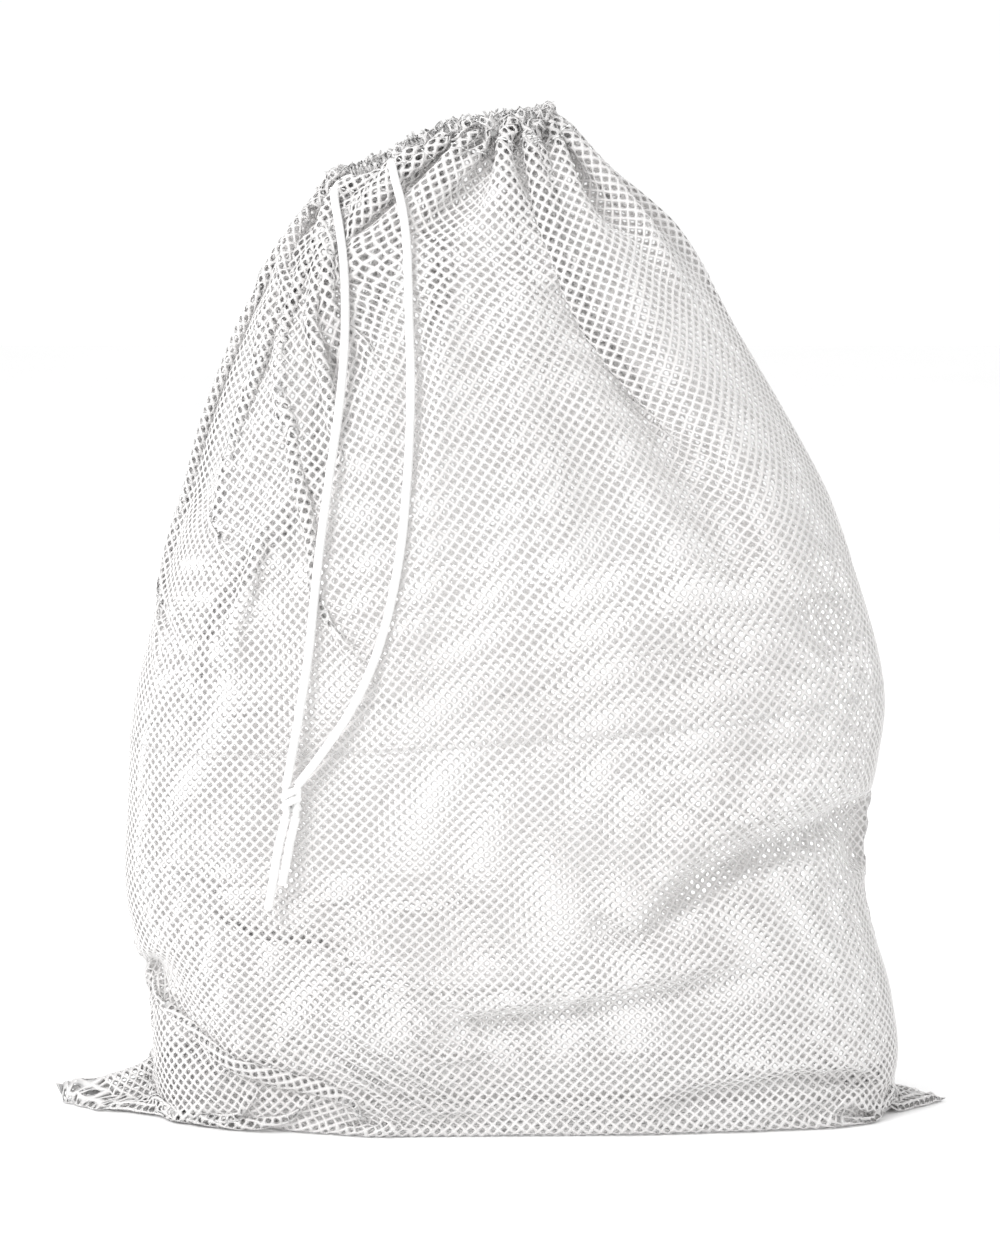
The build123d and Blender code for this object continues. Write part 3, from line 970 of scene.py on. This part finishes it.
def stitch_row(name, up_cloth, lift, long, gap, thick):
    """Lockstitches along a level of the cloth: short raised threads end to end."""
    pitch = long + gap
    count = int(ROUND / pitch)
    turns = 6
    cloth = (np.arange(count) * ROUND / count)[:, None] + np.linspace(0, long, 5)[None]
    height = lift + thick * 0.5 * np.sin(np.linspace(0, pi, 5))[None] + np.zeros_like(cloth)
    places = (cloth.ravel() % ROUND, np.full(cloth.size, up_cloth))
    path = place_on_cloth(*places, height.ravel()).reshape(count, 5, 3)
    normal = unit(on_cloth(*places, DRAPE_NORMALS).reshape(count, 5, 3))
    along = unit(np.gradient(path, axis=1))
    side = np.cross(along, normal)
    radius = thick / 2 * np.array([0.45, 1, 1, 1, 0.45])
    turn = np.arange(turns) * 2 * pi / turns
    ring = np.cos(turn)[:, None] * normal[:, :, None] + np.sin(turn)[:, None] * side[:, :, None]
    points = path[:, :, None] + ring * radius[None, :, None, None]
    index = np.arange(count * 5 * turns).reshape(count, 5, turns)
    quads = [ring_quads(index)]
    for row, order in ((0, -1), (4, 1)):
        loop = index[:, row, ::order]
        quads += [loop[:, [0, 1, 2, 3]], loop[:, [0, 3, 4, 5]]]
    return mesh_from(name, points.reshape(-1, 3), np.concatenate(quads), THREAD)


STITCH_LONG, STITCH_GAP, STITCH_THICK = 0.0024, 0.0006, 0.0007
hem_stitches = stitch_row(
    "channel_stitching", CHANNEL_FROM, CLOTH_THICK / 2, STITCH_LONG, STITCH_GAP, STITCH_THICK
)


SEAM_DEEP = 0.0055
SEAM_THICK = 0.0016
SEAM_STEPS = 700  # cross-sections along a seam
EAR_TOP = 0.035  # below this height the side seams lie in the free corners


def seam_strip(name, base, stand):
    """Overlocked seam edge: a strip standing off the cloth, with its looped thread."""
    across = np.array([0.0, 0.25, 0.5, 0.75, 1.0])
    outline = np.concatenate([across, across[::-1]])
    side = np.concatenate([np.full(5, 0.5), np.full(5, -0.5)])
    sideways = unit(np.cross(unit(np.gradient(base, axis=0)), stand))
    wave = 1 + 0.25 * np.sin(np.arange(SEAM_STEPS) * 2 * pi / 4)[:, None]
    body = (0.55 + 0.6 * outline)[None] * wave
    points = base[:, None] + (outline * SEAM_DEEP)[None, :, None] * stand[:, None]
    points = points + (side[None] * SEAM_THICK * body)[..., None] * sideways[:, None]
    points[..., 2] = np.maximum(points[..., 2], PLANE_GAP / 2)
    around = len(outline)
    index = np.arange(SEAM_STEPS * around).reshape(SEAM_STEPS, around)
    caps = []
    for row, order in ((0, 1), (SEAM_STEPS - 1, -1)):
        loop = index[row, ::order]
        caps += [[loop[0], loop[k], loop[k + 1], loop[k + 2]] for k in (1, 3, 5, 7)]
    quads = np.concatenate([ring_quads(index), np.array(caps)])
    return mesh_from(name, points.reshape(-1, 3), quads, SEAM_CLOTH)


def side_seam(name, cloth):
    """Seam up one side, turned inwards, and lying flat in the free corner."""
    up_cloth = np.linspace(0.004, CHANNEL_FROM, SEAM_STEPS)
    places = np.full(SEAM_STEPS, cloth)
    base = place_on_cloth(places, up_cloth, np.full(SEAM_STEPS, -CLOTH_THICK * 0.4))
    inward = unit(-on_cloth(places, up_cloth, DRAPE_NORMALS))
    flat = ease((EAR_TOP - base[:, 2]) / EAR_TOP * 2)[:, None]
    inward = inward * (1 - flat) + np.array([-np.sign(base[0, 0]), 0, 0]) * flat
    return seam_strip(name, base, unit(inward))


left_seam = side_seam("left_seam_edge", 0.0)
right_seam = side_seam("right_seam_edge", ROUND / 2)


def floor_seam():
    """Seam along the bottom, standing up into the bag but low at the free corners."""
    cloth = np.linspace(0, ROUND / 2, SEAM_STEPS)
    low = np.zeros(SEAM_STEPS)
    base = place_on_cloth(cloth, low, low)
    base[:, 2] = np.maximum(base[:, 2], SEAM_THICK * 0.55)
    up = np.tile([0.0, 0.0, 1.0], (SEAM_STEPS, 1))
    deep = SEAM_DEEP * ease(np.minimum(cloth, ROUND / 2 - cloth) / 0.09)[:, None] + 0.0006
    return seam_strip("floor_seam_edge", base, up * deep / SEAM_DEEP)


bottom_seam = floor_seam()


# ------------------------------------------------------------------------------- knot
WRAP_TURNS = 2.15
KNOT_TIGHT = 0.80  # size of the cord in the knot, as a share of its own


def knot_route():
    """Tight overhand wrap: one strand goes twice round the other and tucks under itself."""
    centre = np.array(KNOT_MIDDLE)
    route = []
    for turn in np.linspace(0, WRAP_TURNS * 2 * pi, 30):
        share = turn / (WRAP_TURNS * 2 * pi)
        radius_x, radius_y = 4.7 - 0.5 * abs(share - 0.5), 3.6
        height = 6.4 - 12.2 * share
        lean = 2.2 * sin(turn + 0.6)
        route.append(centre + np.array([radius_x * cos(turn), -radius_y * sin(turn), height + lean]))
    return [tuple(point) for point in route]


def strand_through(start, stop):
    """Route of a strand inside the knot, swaying away from the knot's middle."""
    centre = np.array(KNOT_MIDDLE)
    start, stop = np.array(start, float), np.array(stop, float)
    sway = np.array([0.6 if start[0] > centre[0] else -0.6, 0, 0])
    upper = start * 0.66 + stop * 0.34 + sway
    lower = start * 0.34 + stop * 0.66 - sway
    return [tuple(point) for point in (start, upper, lower, stop)]


def thin_braid(turn, far):
    """Surface of the cord where the knot squeezes it."""
    return braid(turn, far) * KNOT_TIGHT


knot_routes = {"knot_wrap": knot_route()}
for number, (start, stop) in enumerate(((LEFT_LEG[-1], LEFT_END[0]), (RIGHT_LEG[-1], RIGHT_END[0]))):
    knot_routes[f"knot_strand_{number}"] = strand_through(start, stop)
knot_parts = [
    cord_mesh(name, evenly(route_line(route), CORD_STEP), thin_braid)
    for name, route in knot_routes.items()
]


def one_piece(name, parts):
    """One mesh piece from several."""
    points, quads, triangles, start = [], [], [], 0
    for part in parts:
        mesh = part.data
        own = np.zeros(len(mesh.vertices) * 3)
        mesh.vertices.foreach_get("co", own)
        points.append(own.reshape(-1, 3))
        for face in mesh.polygons:
            faces = quads if len(face.vertices) == 4 else triangles
            faces.append([start + corner for corner in face.vertices])
        start += len(mesh.vertices)
        material = mesh.materials[0]
        bpy.data.objects.remove(part)
        bpy.data.meshes.remove(mesh)
    triangles = np.array(triangles).reshape(-1, 3)
    return mesh_from(name, np.concatenate(points), np.array(quads), material, triangles)


knot = one_piece("cord_knot_braid", knot_parts)

# ----------------------------------------------------------- what each piece stands for
for (side, band), piece in net_pieces.items():
    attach(piece, "bag")
    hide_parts(f"{side}_panel")
for piece in (channel_outer, channel_inner):
    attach(piece, "bag")
    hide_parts("drawcord_channel")
for piece, node in (
    (left_seam, "side_seam_left"),
    (right_seam, "side_seam_right"),
    (bottom_seam, "bottom_seam"),
):
    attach(piece, "bag")
    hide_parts(node)
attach(hem_stitches, "bag")
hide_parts("hem_stitching")

for piece, node, far_end, path, pieces in (
    (left_leg, "cord_leg_left", "knot", left_path, [knot]),
    (right_leg, "cord_leg_right", "knot", right_path, [knot]),
    (left_end, "cord_end_left", "bare", left_end_path, []),
    (right_end, "cord_end_right", "bare", right_end_path, []),
):
    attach(piece, "drawcord")
    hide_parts(node)
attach(knot, "drawcord")
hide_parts("cord_knot")

channel_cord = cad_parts["channel_cord"]
for slot in channel_cord.material_slots:
    slot.material = CORD_YARN
